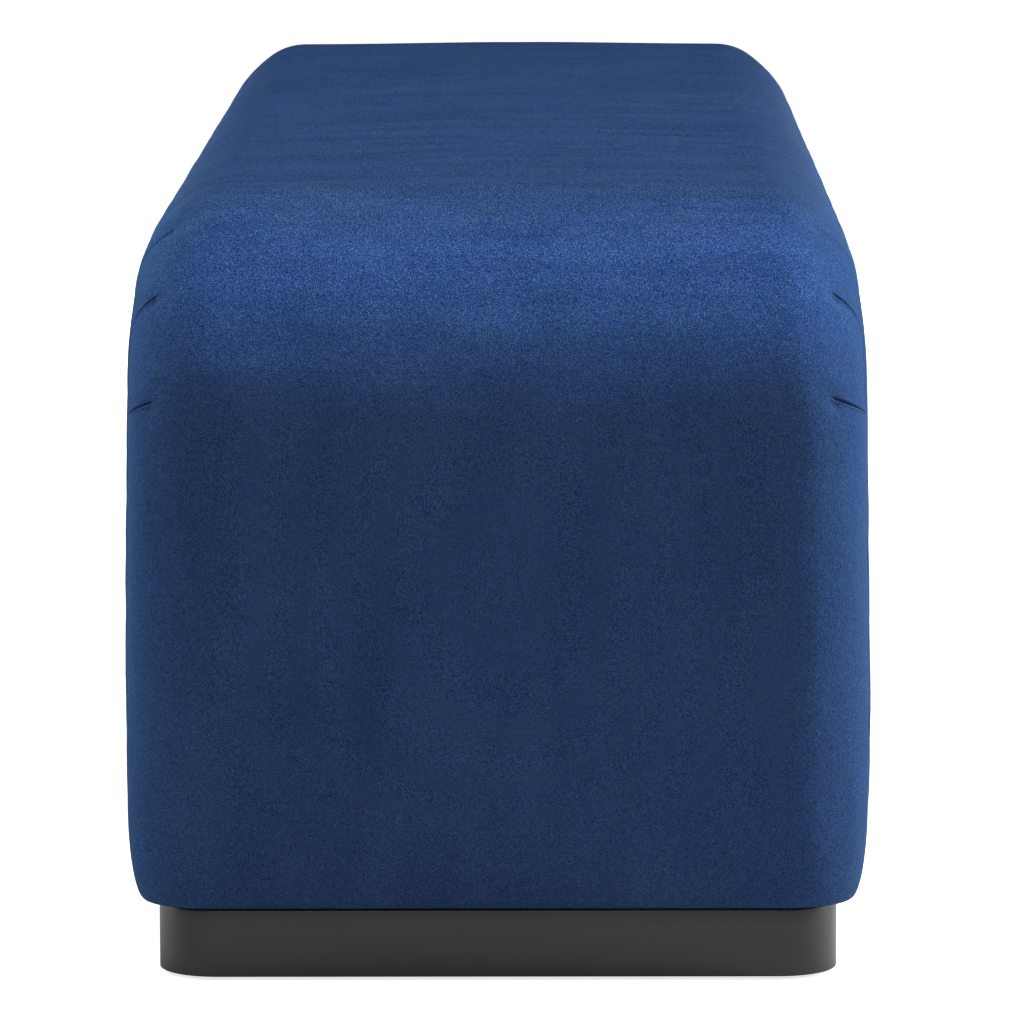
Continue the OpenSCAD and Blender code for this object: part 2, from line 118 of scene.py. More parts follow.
# Rows at each tuck: first, last and step; and the least distance between two rows
TUCK_ROWS = (-0.004, 0.006, 0.00035)
ROW_APART = 0.00025
# Places beside a seam, in radii of its edge: on its rounding, and further out on the side panels
SEAM_ROWS = np.array([0, 0.1, 0.25, 0.45, 0.7, 1])
PANEL_ROWS = np.concatenate([SEAM_ROWS, [1.5, 2.2, 3.2, 4.5]])
# Columns follow a side panel's arch from its foot up to this angle from the end
ARCH_START = 0.35

# Tucks at each corner of the ends: place along the path, tip on the front and back side, depth and slope
TUCKS = (
    dict(s=0.6665, tip=(0.034, 0.028), depth=0.0010, slope=-0.15),
    dict(s=0.7285, tip=(0.044, 0.040), depth=0.0022, slope=0.14),
    dict(s=0.8045, tip=(0.042, 0.034), depth=0.0026, slope=0.24),
)
# Parts of a tuck across it: share of its depth, offset along the path and width
SLIT = (-1.0, 0.0, 0.00075)
LIP = (0.22, 0.0019, 0.0010)
DIMPLE = (-0.50, 0.0045, 0.0045)
CREASE = (-0.20, 0.0, 0.010)
PUFF = (0.30, -0.011, 0.008)
# Parts of a tuck along it: the slit's opening and fading, the dimple, and the lead of crease and puff
SLIT_OPENING = 0.005
SLIT_FADE = 0.75
DIMPLE_PLACE = 0.003
DIMPLE_LENGTH = 0.006
CREASE_LEAD = 0.020
PUFF_LEAD = 0.012
LEAD_LENGTH = 0.020
# How much the tucks of the corners differ in place and depth
TIP_VARIES = 0.0015
DEPTH_VARIES = 0.1
TUCK_SEED = 11
# Rows lean along the tucks from a little inward of this place across the edge out to the seam; the lean
# fades out above the rolled end and below it
LEAN_MID = 0.041
LEAN_INWARD = 0.006
LEAN_ABOVE = 0.02
LEAN_BELOW = 0.06
# How far the stretched cover rounds off each upper corner, on the front and back side, and where
CORNER_PULL = (0.0012, 0.0022)
PULL_ACROSS = 0.042
PULL_WIDTH = 0.026
PULL_BELOW = 0.03
PULL_LENGTH = 0.07

# Waves of the wrap: short ones near its long edges, slanting a little, and wide ones all over
DRAPE = 0.0002
DRAPE_PITCH = 0.070
DRAPE_SLANT = 0.3
DRAPE_SEED = 3
DRAPE_FROM = 0.55
DRAPE_OVER = 0.4
DRAPE_END = 0.06
SOFTNESS = 0.0002
SOFT_SIZE = 0.16
SOFT_SEED = 5
SOFT_END = 0.05
# Side panels: puckers along the seam, wide waves inside it, and the calm stretch above the foot
PUCKER = 0.0006
PUCKER_PITCH = 0.030
PUCKER_REACH = 0.018
PUCKER_SEED = 17
PUCKER_COUNT = 6
# The puckers follow the distance from the middle plus a share of the angle seen from a point behind it
PUCKER_TURN = 0.5
PUCKER_BEHIND = 0.2
PANEL_WAVE = 0.0006
PANEL_WAVE_SIZE = 0.15
PANEL_WAVE_SEED = 23
PANEL_WAVE_EDGE = 0.03
CALM_FOOT = 0.02
CALM_RISE = 0.06
# Seeded waves are sums of sines: how much their pitches vary, how many there are in a wave through space,
# and the range of a random phase, which is about one turn
RIPPLE_SPREAD = (0.6, 1.7)
WAVE_SPREAD = (0.7, 1.8)
WAVE_COUNT = 7
PHASE = 6.28


# Small helpers
def smooth(t):
    t = np.clip(t, 0, 1)
    return t * t * (3 - 2 * t)


def bump(t, width):
    return np.exp(-(t / width) ** 2)


def ripples(t, pitch, seed, count=5):
    """Seeded smooth waves along one distance, between about -1 and 1."""
    rng = np.random.default_rng(seed)
    total = 0 * t
    for _ in range(count):
        length = pitch * rng.uniform(*RIPPLE_SPREAD)
        total = total + np.sin(t * 2 * np.pi / length + rng.uniform(0, PHASE))
    return total / count ** 0.5


def waves(points, size, seed):
    """Seeded smooth waves through space, between about -1 and 1."""
    rng = np.random.default_rng(seed)
    total = np.zeros(points.shape[:-1])
    for _ in range(WAVE_COUNT):
        direction = rng.normal(size=3)
        direction /= np.linalg.norm(direction)
        pitch = size * rng.uniform(*WAVE_SPREAD)
        total += np.sin(points @ direction * 2 * np.pi / pitch + rng.uniform(0, PHASE))
    return total / WAVE_COUNT ** 0.5


def normals_of(grid):
    n = np.cross(np.gradient(grid, axis=0), np.gradient(grid, axis=1))
    return n / np.maximum(np.linalg.norm(n, axis=-1, keepdims=True), 1e-12)


def spaced(start, end, step):
    return np.linspace(start, end, max(2, round((end - start) / step) + 1))


def merged(*lists):
    """All the values in order, without those that lie too close after another."""
    values = np.sort(np.concatenate(lists))
    return values[np.concatenate([[True], np.diff(values) > ROW_APART])]


def mirrored(half):
    """Distances from the middle, 0 first, as signed places from one end to the other."""
    return np.concatenate([-half[:0:-1], half])


def spline(values, places, at):
    """Smooth values given at even places along the last axis, taken at other places of each row."""
    last = len(places) - 1
    place = np.clip((at - places[0]) / (places[1] - places[0]), 0, last - 0.000001)
    place = np.broadcast_to(place, (len(values), place.shape[-1]))
    first = place.astype(int)
    t = place - first
    weights = ((1 - t) ** 3, 3 * t ** 3 - 6 * t ** 2 + 4, -3 * t ** 3 + 3 * t ** 2 + 3 * t + 1, t ** 3)
    total = 0
    for step, weight in enumerate(weights):
        total = total + weight * np.take_along_axis(values, np.clip(first + step - 1, 0, last), -1)
    return total / 6


def grid_faces(rows, columns, first=0):
    index = np.arange(rows * columns).reshape(rows, columns) + first
    quads = (index[:-1, :-1], index[1:, :-1], index[1:, 1:], index[:-1, 1:])
    return np.stack(quads, -1).reshape(-1, 4)


def mesh_piece(name, points, faces, material):
    """A smooth-shaded piece that rides on the bench."""
    mesh = bpy.data.meshes.new(name)
    mesh.from_pydata(np.asarray(points).reshape(-1, 3).tolist(), [], [list(map(int, f)) for f in faces])
    mesh.update()
    mesh.shade_smooth()
    mesh.materials.append(material)
    piece = bpy.data.objects.new(name, mesh)
    bpy.context.scene.collection.objects.link(piece)
    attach(piece, "root")
    return piece


def grid_piece(name, grid, material):
    return mesh_piece(name, grid, grid_faces(*grid.shape[:2]), material)


# Form of the body
def half_width(z):
    return WIDTH / 2 - SIDE_DRAW * ((z - WIDEST_Z) / (HEIGHT - WIDEST_Z)) ** 2


def path(s):
    """Point, outward normal, edge radius and inset of the wrap at distance s from the seat's middle."""
    turn = np.clip((s - ARC_S) / END_R, 0, math.pi / 2)
    straight = np.clip(s - FACE_S, 0, ROLL_S - FACE_S)
    fall = np.clip((s - ROLL_S) / (FLANGE_S - ROLL_S), 0, 1) * math.pi / 2
    x = np.minimum(s, ARC_S) + END_R * np.sin(turn)
    z = EDGE_Z - END_R * (1 - np.cos(turn)) - straight - ROLL_H * np.sin(fall)
    inset = ROLL_W * (1 - np.cos(fall)) + np.maximum(s - FLANGE_S, 0)
    radius = EDGE_R + (CORNER_HIGH_R - EDGE_R) * turn / (math.pi / 2)
    radius = radius + (CORNER_LOW_R - CORNER_HIGH_R) * smooth((s - FACE_S) / (ROLL_S - FACE_S))
    return x, z, np.sin(turn), np.cos(turn), radius, inset


def wrap_points(s, flat, phi, side):
    """Quarter of the wrap: flat runs 0..1 to the rounding, phi round it, side 0..1 down to the seam."""
    x, z, nx, nz, r, inset = path(s)
    depth = r * (1 - np.cos(phi)) + (SEAM_DEPTH - r) * side
    y = (half_width(z - nz * depth) - r) * flat + (r - inset) * np.sin(phi)
    crown = (1 - flat ** 2) ** 2
    level = np.clip((z - BODY_Z) / (EDGE_Z - BODY_Z), 0, 1)
    px = x - nx * depth - inset * np.cos(phi) + nx * END_CROWN * np.sin(math.pi * level) * crown
    pz = z - nz * depth + nz * SEAT_CROWN * (1 - np.clip(x / END_X, 0, 1) ** 4) * crown
    return np.stack(np.broadcast_arrays(px, y, pz), -1)


def edge_fall(distance):
    """How far a seam's rounded edge falls in at that distance from the seam."""
    u = np.clip(1 - distance / SEAM_R, 0, 1)
    return SEAM_R * (1 - np.sqrt(1 - u * u))


# Cloth simulation of the covers over their padding: step of its grid, length, and caps of what it moves
SIM_STEP = 0.012
SIM_FRAMES = 20
WRAP_SWELL = 0.0008
SIDE_SWELL = 0.0030


def swelled(name, grid, held, cap):
    """How far a cover pressed from within moves outward between its held points, up to a cap."""
    scene = bpy.context.scene
    mesh = bpy.data.meshes.new(name)
    mesh.from_pydata(grid.reshape(-1, 3).tolist(), [], grid_faces(*grid.shape[:2]).tolist())
    cover = bpy.data.objects.new(name, mesh)
    scene.collection.objects.link(cover)
    group = cover.vertex_groups.new(name="held")
    group.add(np.flatnonzero(held.ravel()).tolist(), 1.0, "REPLACE")
    cloth = cover.modifiers.new("cloth", "CLOTH")
    cloth.point_cache.frame_end = SIM_FRAMES
    cloth.settings.quality = 6
    cloth.settings.vertex_group_mass = "held"
    cloth.settings.shrink_min = -0.004
    cloth.settings.use_pressure = True
    cloth.settings.uniform_pressure_force = 4
    cloth.settings.effector_weights.gravity = 0
    for moment in range(1, SIM_FRAMES + 1):
        scene.frame_set(moment)
    done = cover.evaluated_get(bpy.context.evaluated_depsgraph_get()).to_mesh()
    points = np.empty(grid.size)
    done.vertices.foreach_get("co", points)
    bpy.data.objects.remove(cover)
    scene.frame_set(1)
    moved = ((points.reshape(grid.shape) - grid) * normals_of(grid)).sum(-1)
    return cap * np.tanh(moved / cap)


def wrap_swell(s, middle):
    """Simulated swelling of the wrap at distances s along it and middle across it, from its middle."""
    rows = spaced(-LAST_S, LAST_S, SIM_STEP)
    columns = spaced(-HALF_ACROSS, HALF_ACROSS, SIM_STEP)
    away = np.abs(columns) - WIDTH / 2 + EDGE_R
    flat = np.clip(1 + away / HALF_FLAT, 0, 1)
    phi = np.clip(away / EDGE_R, 0, math.pi / 2)
    side = np.clip((away - EDGE_R * math.pi / 2) / (SEAM_DEPTH - EDGE_R), 0, 1)
    grid = wrap_points(np.abs(rows)[:, None], flat[None], phi[None], side[None])
    grid = grid * np.stack(np.broadcast_arrays(np.sign(rows)[:, None], np.sign(columns)[None], 1.0), -1)
    held = (np.abs(rows) > ROLL_S)[:, None] | (np.abs(columns) > HALF_ACROSS - SIM_STEP / 2)[None]
    moved = swelled("wrap_cloth", grid, held, WRAP_SWELL)
    return spline(spline(moved.T, rows, s).T, columns, middle)


def side_swell(hand, x, level):
    """Simulated swelling of a side panel, at x along it and level 0..1 from its foot to its seam.

    The panel is held all round and over its two lowest rows.
    """
    rows = spaced(-SIDE_X, SIDE_X, SIM_STEP)
    columns = spaced(0, 1, SIM_STEP / (SIDE_TOP - BODY_Z))
    z = BODY_Z + (arch_top(rows)[:, None] - BODY_Z) * columns[None]
    wide = np.broadcast_to(rows[:, None], z.shape)
    grid = np.stack([wide, hand * half_width(z), z], -1)[:, ::-hand]
    held = np.ones(z.shape, dtype=bool)
    held[1:-1, 2:-1] = False
    moved = swelled("side_cloth", grid, held[:, ::-hand], SIDE_SWELL)[:, ::-hand]
    return spline(spline(moved.T, rows, x).T, columns, level)


# Wrap: the velvet strip over both ends and the seat
def wrap_rows(fine):
    """Distances along the path, closer together round the end and at the tucks."""
    step = FINE if fine else COARSE
    lead, tail = ARC_S - ARC_LEAD, FACE_S + ARC_TAIL
    top = spaced(0, lead, step["top"])
    arc = spaced(lead, tail, step["arc"])
    face = spaced(tail, ROLL_S, step["face"])
    fall = spaced(ROLL_S, FLANGE_S, step["fall"])
    under = spaced(FLANGE_S, LAST_S, UNDER_STEP)
    near = [t["s"] + spaced(*TUCK_ROWS) for t in TUCKS] if fine else []
    return merged(top, arc, face, fall, under, *near)


def wrap_columns(fine):
    """(flat, phi, side) of each column from the middle to the seam."""
    step = FINE if fine else COARSE
    flats = np.concatenate([spaced(0, FLAT_SHARE, FLAT_STEP), spaced(FLAT_SHARE, 1, step["flat"])[1:]])
    turns = spaced(0, math.pi / 2, step["edge"] / EDGE_R)[1:]
    gaps = SEAM_R * SEAM_ROWS[::-1] if fine else np.zeros(1)
    sides = 1 - gaps / (SEAM_DEPTH - EDGE_R)
    columns = [(flat, 0, 0) for flat in flats]
    columns += [(1, turn, 0) for turn in turns]
    columns += [(1, math.pi / 2, side) for side in sides]
    return np.array(columns).T


def tuck_shift(s, across):
    """Rows lean along the tucks, so that a fold runs along them."""
    places = [ARC_S - LEAN_ABOVE] + [t["s"] for t in TUCKS] + [FACE_S + LEAN_BELOW]
    slopes = [0] + [t["slope"] for t in TUCKS] + [0]
    return np.interp(s, places, slopes) * np.maximum(across - LEAN_MID, -LEAN_INWARD)


def fold(part, off):
    """One part of a tuck of depth 1, at a distance off it along the path."""
    share, offset, width = part
    return share * bump(off - offset, width)


def tuck_relief(s, across, hand, rng):
    """Folds of the cover on one corner: a slit, its lip, the dimple at its tip, a crease and a puff."""
    total = 0 * s
    reach = EDGE_R * math.pi / 2
    for t in TUCKS:
        tip = t["tip"][(hand + 1) // 2] + rng.uniform(-TIP_VARIES, TIP_VARIES)
        depth = t["depth"] * rng.uniform(1 - DEPTH_VARIES, 1 + DEPTH_VARIES)
        off = s - t["s"]
        along = across - tip
        out = np.clip(along / (reach - tip), 0, 1)
        slit = smooth(along / SLIT_OPENING) * (1 - SLIT_FADE * out) * (fold(SLIT, off) + fold(LIP, off))
        dimple = bump(along - DIMPLE_PLACE, DIMPLE_LENGTH) * fold(DIMPLE, off)
        crease = smooth((along + CREASE_LEAD) / LEAD_LENGTH) * (1 - out) ** 2 * fold(CREASE, off)
        puff = smooth((along + PUFF_LEAD) / LEAD_LENGTH) * (1 - out) ** 2 * fold(PUFF, off)
        total = total + depth * (slit + dimple + crease + puff)
    pull = CORNER_PULL[(hand + 1) // 2] * bump(across - PULL_ACROSS, PULL_WIDTH)
    return total - pull * bump(s - ARC_S - PULL_BELOW, PULL_LENGTH)


def wrap_quarter(s, columns, end, hand, fine):
    """Points of one quarter of the wrap, with their distances along the path and across the edge."""
    flat, phi, side = columns
    across = np.broadcast_to(phi * EDGE_R - (1 - flat) * HALF_FLAT, (len(s), len(phi)))
    rows = np.broadcast_to(s[:, None], across.shape)
    leaned = rows + tuck_shift(rows, across) if fine else rows
    points = wrap_points(leaned, flat[None], phi[None], side[None])
    return points * np.array([end, hand, 1]), rows, across


def joined(quarters):
    """The four quarters, by end and hand, as one grid from end to end and from seam to seam."""
    ends = []
    for end in (-1, 1):
        half = np.concatenate([quarters[end, -1][:, :0:-1], quarters[end, 1]], axis=1)
        ends.append(half[:0:-1] if end < 0 else half)
    return np.concatenate(ends)


def wrap_relief(quarters, side):
    """Tucks of the four corners and the rounded edges along both seams."""
    seam = edge_fall((1 - side) * (SEAM_DEPTH - EDGE_R)) * (side > 0)
    relief = {}
    for (end, hand), (_, along, across) in quarters.items():
        rng = np.random.default_rng(TUCK_SEED + 2 * end + hand)
        relief[end, hand] = tuck_relief(along, across, hand, rng) - seam
    return joined(relief)


def wrap_waves(grid, along):
    """Slight waves of the cover, at distances along the path; they calm down before the bottom edge."""
    outer = np.abs(grid[..., 1]) / (WIDTH / 2)
    slanted = np.abs(grid[..., 0]) + DRAPE_SLANT * grid[..., 1]
    drape = DRAPE * ripples(slanted, DRAPE_PITCH, DRAPE_SEED) * smooth((outer - DRAPE_FROM) / DRAPE_OVER)
    drape = drape * smooth((FACE_S - along) / DRAPE_END)
    soft = SOFTNESS * waves(grid, SOFT_SIZE, SOFT_SEED)
    return (drape + soft) * smooth((ROLL_S - along) / SOFT_END)


def wrap_turned_in(grid, out):
    """Turns both long edges of the wrap into the body, where the seam holds them."""
    first = [grid[:, :1] - out[:, :1] * d for d in (TUCK_IN, TUCK_IN / 2)]
    last = [grid[:, -1:] - out[:, -1:] * d for d in (TUCK_IN / 2, TUCK_IN)]
    return np.concatenate(first + [grid] + last, axis=1)


def wrap_grid(fine=True):
    """The wrap: its plain form, or the fine one with tucks, waves, swelling and turned edges."""
    s = wrap_rows(fine)
    columns = wrap_columns(fine)
    corners = [(end, hand) for end in (-1, 1) for hand in (-1, 1)]
    quarters = {corner: wrap_quarter(s, columns, *corner, fine) for corner in corners}
    grid = joined({corner: quarters[corner][0] for corner in corners})
    if not fine:
        return grid
    flat, phi, side = columns
    signed = mirrored(s)
    middle = mirrored(flat * HALF_FLAT + phi * EDGE_R + side * (SEAM_DEPTH - EDGE_R))
    relief = wrap_relief(quarters, side) + wrap_waves(grid, np.abs(signed)[:, None])
    relief = relief + wrap_swell(signed, middle)
    out = normals_of(grid)
    return wrap_turned_in(grid + out * relief[..., None], out)


# Side panels
def arch_top(x):
    """Height of the seam over a side panel."""
    beyond = np.clip(np.abs(x) - (SIDE_X - ARCH_R), 0, ARCH_R)
    return SIDE_TOP - ARCH_R + np.sqrt(ARCH_R ** 2 - beyond ** 2)


def seam_distance(x, z):
    qx = np.abs(x) - (SIDE_X - ARCH_R)
    qz = z - (SIDE_TOP - ARCH_R)
    straight = np.minimum(SIDE_X - np.abs(x), SIDE_TOP - z)
    return np.where((qx > 0) & (qz > 0), ARCH_R - np.hypot(qx, qz), straight)


def side_form(fine):
    """Places along a side panel, with height and inset of its points from the flange up to the seam."""
    step = FINE if fine else COARSE
    near = SEAM_R * (PANEL_ROWS if fine else PANEL_ROWS[[0, -1]])
    arch = SIDE_X - ARCH_R * (1 - np.cos(np.linspace(ARCH_START, math.pi / 2, step["arch"])))
    x = mirrored(merged(spaced(0, SIDE_X - ARCH_R, step["top"]), arch, SIDE_X - near))
    fall = np.linspace(math.pi / 2, 0, ROLL_COLUMNS)
    flange = spaced(0, FLANGE, UNDER_STEP)[:0:-1]
    low = np.concatenate([np.full(len(flange), BODY_Z), ROLL_Z - ROLL_H * np.sin(fall)])
    top = arch_top(x)[:, None]
    rise = ROLL_Z + (top - near[-1] - ROLL_Z) * np.linspace(0, 1, step["rise"])[1:]
    z = np.concatenate([np.broadcast_to(low, (len(x), len(low))), rise, top - near[-2::-1]], axis=1)
    inset = np.zeros(z.shape)
    inset[:, :len(low)] = np.concatenate([ROLL_W + flange, ROLL_W * (1 - np.cos(fall))])
    return x, z, inset


def side_relief(hand, x, y, z):
    """Outward relief of a side panel: puckers, waves, swelling and the seam's edge, calm at the foot."""
    wide = np.broadcast_to(x[:, None], z.shape)
    to_seam = np.maximum(seam_distance(wide, z), 0)
    angle = np.arctan2(z - SIDE_TOP + ARCH_R, np.abs(wide) + PUCKER_BEHIND)
    along_seam = angle * PUCKER_TURN + np.abs(wide)
    pucker = ripples(along_seam, PUCKER_PITCH, PUCKER_SEED + hand, PUCKER_COUNT)
    pucker = PUCKER * pucker * bump(to_seam, PUCKER_REACH)
    swell = side_swell(hand, x, (z - BODY_Z) / (arch_top(x)[:, None] - BODY_Z))
    wave = waves(np.stack([wide, y, z], -1), PANEL_WAVE_SIZE, PANEL_WAVE_SEED + hand)
    wave = PANEL_WAVE * wave * smooth(to_seam / PANEL_WAVE_EDGE)
    level = smooth((z - BODY_Z - CALM_FOOT) / CALM_RISE)
    return (swell + pucker + wave - edge_fall(to_seam)) * level


def side_turned_in(grid, hand):
    """Turns both ends and the top of a side panel into the body, behind its seam."""
    deep = np.array([0, hand * TUCK_IN, 0])
    first, last = grid[:1], grid[-1:]
    grid = np.concatenate([first - deep, first - deep / 2, grid, last - deep / 2, last - deep])
    top = grid[:, -1:]
    return np.concatenate([grid, top - deep / 2, top - deep], axis=1)


def side_grid(hand, fine=True):
    """A side panel: its plain form, or the fine one with its relief and turned edges."""
    x, z, inset = side_form(fine)
    y = half_width(z) - inset
    if fine:
        y = y + side_relief(hand, x, y, z)
    grid = np.stack([np.broadcast_to(x[:, None], z.shape), hand * y, z], -1)
    if fine:
        grid = side_turned_in(grid, hand)
    return grid[:, ::-1] if hand > 0 else grid


# Plinth band: radius of its corners, thickness, radius of its edges, and points on a corner and an edge
SKIRT_R = 0.036
SKIRT = 0.004
SKIRT_EDGE = 0.0012
CORNER_STEPS = 14
EDGE_POINTS = 5


def rounded_outline(half_x, half_y, radius):
    """Points of a rectangle with round corners, each with its outward direction."""
    points = []
    for quarter, (sx, sy) in enumerate(((1, 1), (-1, 1), (-1, -1), (1, -1))):
        for i in range(CORNER_STEPS + 1):
            a = (quarter + i / CORNER_STEPS) * math.pi / 2
            c, s = math.cos(a), math.sin(a)
            points.append((sx * (half_x - radius) + radius * c, sy * (half_y - radius) + radius * s, c, s))
    return np.array(points)


def plinth_grid(node):
    """The band as a closed profile with rounded outer edges, carried round the plinth's outline."""
    low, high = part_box(node)
    outline = rounded_outline(high.x, high.y, SKIRT_R)
    turn = np.linspace(0, math.pi / 2, EDGE_POINTS)
    inward = SKIRT_EDGE * (1 - np.cos(turn))
    foot, head = low.z + SKIRT_EDGE, high.z - SKIRT_EDGE
    profile = list(zip(inward[::-1], foot - SKIRT_EDGE * np.sin(turn[::-1])))
    profile += [(0.0, z) for z in np.linspace(foot, head, EDGE_POINTS)[1:-1]]
    profile += list(zip(inward, head + SKIRT_EDGE * np.sin(turn)))
    profile += [(SKIRT, high.z), (SKIRT, low.z)]
    rows = []
    for x, y, c, s in np.vstack([outline, outline[:1]]):
        rows.append([(x - c * d, y - s * d, z) for d, z in profile + profile[:1]])
    return np.array(rows)


# Materials: where a ramp of noise changes from its low to its high colour
SOFT_EDGE = (0.35, 0.65)
FIBRE_EDGE = (0.465, 0.478)


class Nodes:
    """Short forms for building a material's nodes."""

    def __init__(self, material):
        self.tree = material.node_tree
        self.principled = self.tree.nodes["Principled BSDF"]
        self.place = self.add("ShaderNodeTexCoord").outputs["Object"]

    def add(self, kind, **settings):
        node = self.tree.nodes.new(kind)
        for key, value in settings.items():
            setattr(node, key, value)
        return node

    def link(self, source, target):
        self.tree.links.new(source, target)

    def noise(self, scale, detail=3.0, roughness=0.55, stretch=(1, 1, 1), distortion=0.0):
        mapping = self.add("ShaderNodeMapping")
        mapping.inputs["Scale"].default_value = stretch
        self.link(self.place, mapping.inputs["Vector"])
        node = self.add("ShaderNodeTexNoise")
        self.link(mapping.outputs["Vector"], node.inputs["Vector"])
        node.inputs["Scale"].default_value = scale
        node.inputs["Detail"].default_value = detail
        node.inputs["Roughness"].default_value = roughness
        node.inputs["Distortion"].default_value = distortion
        return node.outputs["Fac"]

    def ramp(self, source, low, high, start=0.3, end=0.7):
        node = self.add("ShaderNodeValToRGB")
        node.color_ramp.elements[0].position = start
        node.color_ramp.elements[1].position = end
        node.color_ramp.elements[0].color = (*low, 1)
        node.color_ramp.elements[1].color = (*high, 1)
        self.link(source, node.inputs["Fac"])
        return node.outputs["Color"]

    def scaled(self, source, low, high):
        node = self.add("ShaderNodeMapRange")
        node.inputs["To Min"].default_value = low
        node.inputs["To Max"].default_value = high
        self.link(source, node.inputs["Value"])
        return node.outputs["Result"]

    def times(self, a, b):
        node = self.add("ShaderNodeMath", operation="MULTIPLY")
        self.link(a, node.inputs[0])
        self.link(b, node.inputs[1])
        return node.outputs["Value"]

    def multiply(self, a, b, share=None):
        """Colour a times colour b, wholly or by the share that a socket gives."""
        node = self.add("ShaderNodeMix", data_type="RGBA", blend_type="MULTIPLY")
        node.inputs["Factor"].default_value = 1.0
        if share:
            self.link(share, node.inputs["Factor"])
        self.link(a, node.inputs["A"])
        self.link(b, node.inputs["B"])
        return node.outputs["Result"]

    def toned(self, colour, source, swing):
        """A colour made darker and lighter by a noise, by a share for each channel."""
        low = [1 - share for share in swing]
        high = [1 + share for share in swing]
        return self.multiply(colour, self.ramp(source, low, high, *SOFT_EDGE))

    def facing(self):
        """How far the surface faces up, and 1 halfway round the rolled ends but 0 on the flats."""
        normal = self.add("ShaderNodeSeparateXYZ")
        self.link(self.add("ShaderNodeNewGeometry").outputs["Normal"], normal.inputs["Vector"])
        upward = self.scaled(normal.outputs["Z"], 0.0, 1.0)
        turn = self.times(normal.outputs["X"], upward)
        return upward, self.scaled(self.times(turn, turn), 0.0, 4.0)

    def bump(self, *heights, strength=0.5):
        """Chained bumps, each a (height, distance in metres)."""
        normal = None
        for height, distance in heights:
            node = self.add("ShaderNodeBump")
            node.inputs["Strength"].default_value = strength
            node.inputs["Distance"].default_value = distance
            self.link(height, node.inputs["Height"])
            if normal:
                self.link(normal, node.inputs["Normal"])
            normal = node.outputs["Normal"]
        self.link(normal, self.principled.inputs["Normal"])

    def set(self, **sockets):
        for name, source in sockets.items():
            self.link(source, self.principled.inputs[name.replace("_", " ")])


def fixed(material, **values):
    principled = material.node_tree.nodes["Principled BSDF"]
    for name, value in values.items():
        principled.inputs[name.replace("_", " ")].default_value = value


def new_material(name):
    material = bpy.data.materials.new(name)
    material.use_nodes = True
    return material, Nodes(material)


def velvet():
    """Navy velvet: dull fibres among lustrous saturated ones, in a fine nap, with painted glints and a
    painted highlight over the rolls.
    """
    material, n = new_material("velvet_navy")
    fixed(material, Sheen_Weight=0.07, Sheen_Roughness=0.35, Sheen_Tint=(0.0, 0.25, 1.0, 1))
    fixed(material, Specular_IOR_Level=0.04, Specular_Tint=(0.52, 0.78, 0.98, 1))
    fibre = n.noise(9000, detail=0)
    nap = n.noise(1700, detail=1, roughness=0.6)
    tuft = n.noise(420, detail=2)
    cloud = n.noise(9, detail=3)
    streak = n.noise(22, detail=4, stretch=(1.6, 1.0, 0.22))
    colour = n.ramp(fibre, (0.033, 0.041, 0.048), (0.0112, 0.0470, 0.168), *FIBRE_EDGE)
    colour = n.multiply(colour, n.ramp(nap, (0.25, 0.45, 0.72), (1.80, 1.58, 1.32), 0.32, 0.68))
    # Painted glints and highlight over the rolled ends: finer, stronger grains that also lighten the rolls,
    # most in green and blue
    painted_glints = n.ramp(n.noise(2200, detail=0), (0.12, 0.40, 1.06), (2.34, 2.44, 2.03), 0.38, 0.62)
    upward, rolled = n.facing()
    colour = n.multiply(colour, painted_glints, rolled)
    # The seat has streaks across it and flecks along it
    across = n.noise(45, detail=4, stretch=(1.6, 0.10, 1.0))
    colour = n.multiply(colour, n.ramp(across, (0.82, 0.83, 0.84), (1.14, 1.13, 1.12), *SOFT_EDGE), upward)
    brushed = n.noise(1500, detail=0, stretch=(0.2, 1.0, 1.0))
    colour = n.multiply(colour, n.ramp(brushed, (0.36, 0.46, 0.58), (1.66, 1.54, 1.42), *SOFT_EDGE), upward)
    colour = n.toned(colour, tuft, (0.12, 0.10, 0.08))
    colour = n.toned(colour, cloud, (0.06, 0.05, 0.03))
    colour = n.toned(colour, streak, (0.10, 0.08, 0.06))
    n.set(Base_Color=colour, Roughness=n.scaled(nap, 0.86, 0.44))
    n.set(Metallic=n.ramp(fibre, (0.03, 0.03, 0.03), (1, 1, 1), *FIBRE_EDGE))
    n.bump((nap, 0.0010), (tuft, 0.0006), (cloud, 0.0004), strength=0.6)
    return material


def satin_black():
    """Black lacquer of the plinth band, slightly smeared."""
    material, n = new_material("satin_black_lacquer")
    fixed(material, Specular_IOR_Level=0.4, Coat_Weight=0.15, Coat_Roughness=0.25)
    grain = n.noise(420, detail=2)
    smear = n.noise(18, detail=3, stretch=(0.4, 0.4, 2.0))
    n.set(Base_Color=n.ramp(smear, (0.0065, 0.0065, 0.0067), (0.0095, 0.0095, 0.0098)))
    n.set(Roughness=n.scaled(smear, 0.34, 0.44))
    n.bump((grain, 0.00004), (smear, 0.00015), strength=0.4)
    return material


def wood(name, light, dark, ring=36):
    """Wood with its grain along the bench and short pores."""
    material, n = new_material(name)
    grain = n.noise(ring, detail=5, stretch=(0.06, 1, 1), distortion=1.2)
    pores = n.noise(500, detail=2, stretch=(0.08, 1, 1))
    rings = n.ramp(grain, dark, light, *SOFT_EDGE)
    n.set(Base_Color=n.multiply(rings, n.ramp(pores, (0.8, 0.78, 0.75), (1, 1, 1), 0.3, 0.5)))
    n.set(Roughness=n.scaled(grain, 0.55, 0.75))
    n.bump((grain, 0.0002), (pores, 0.0001))
    return material


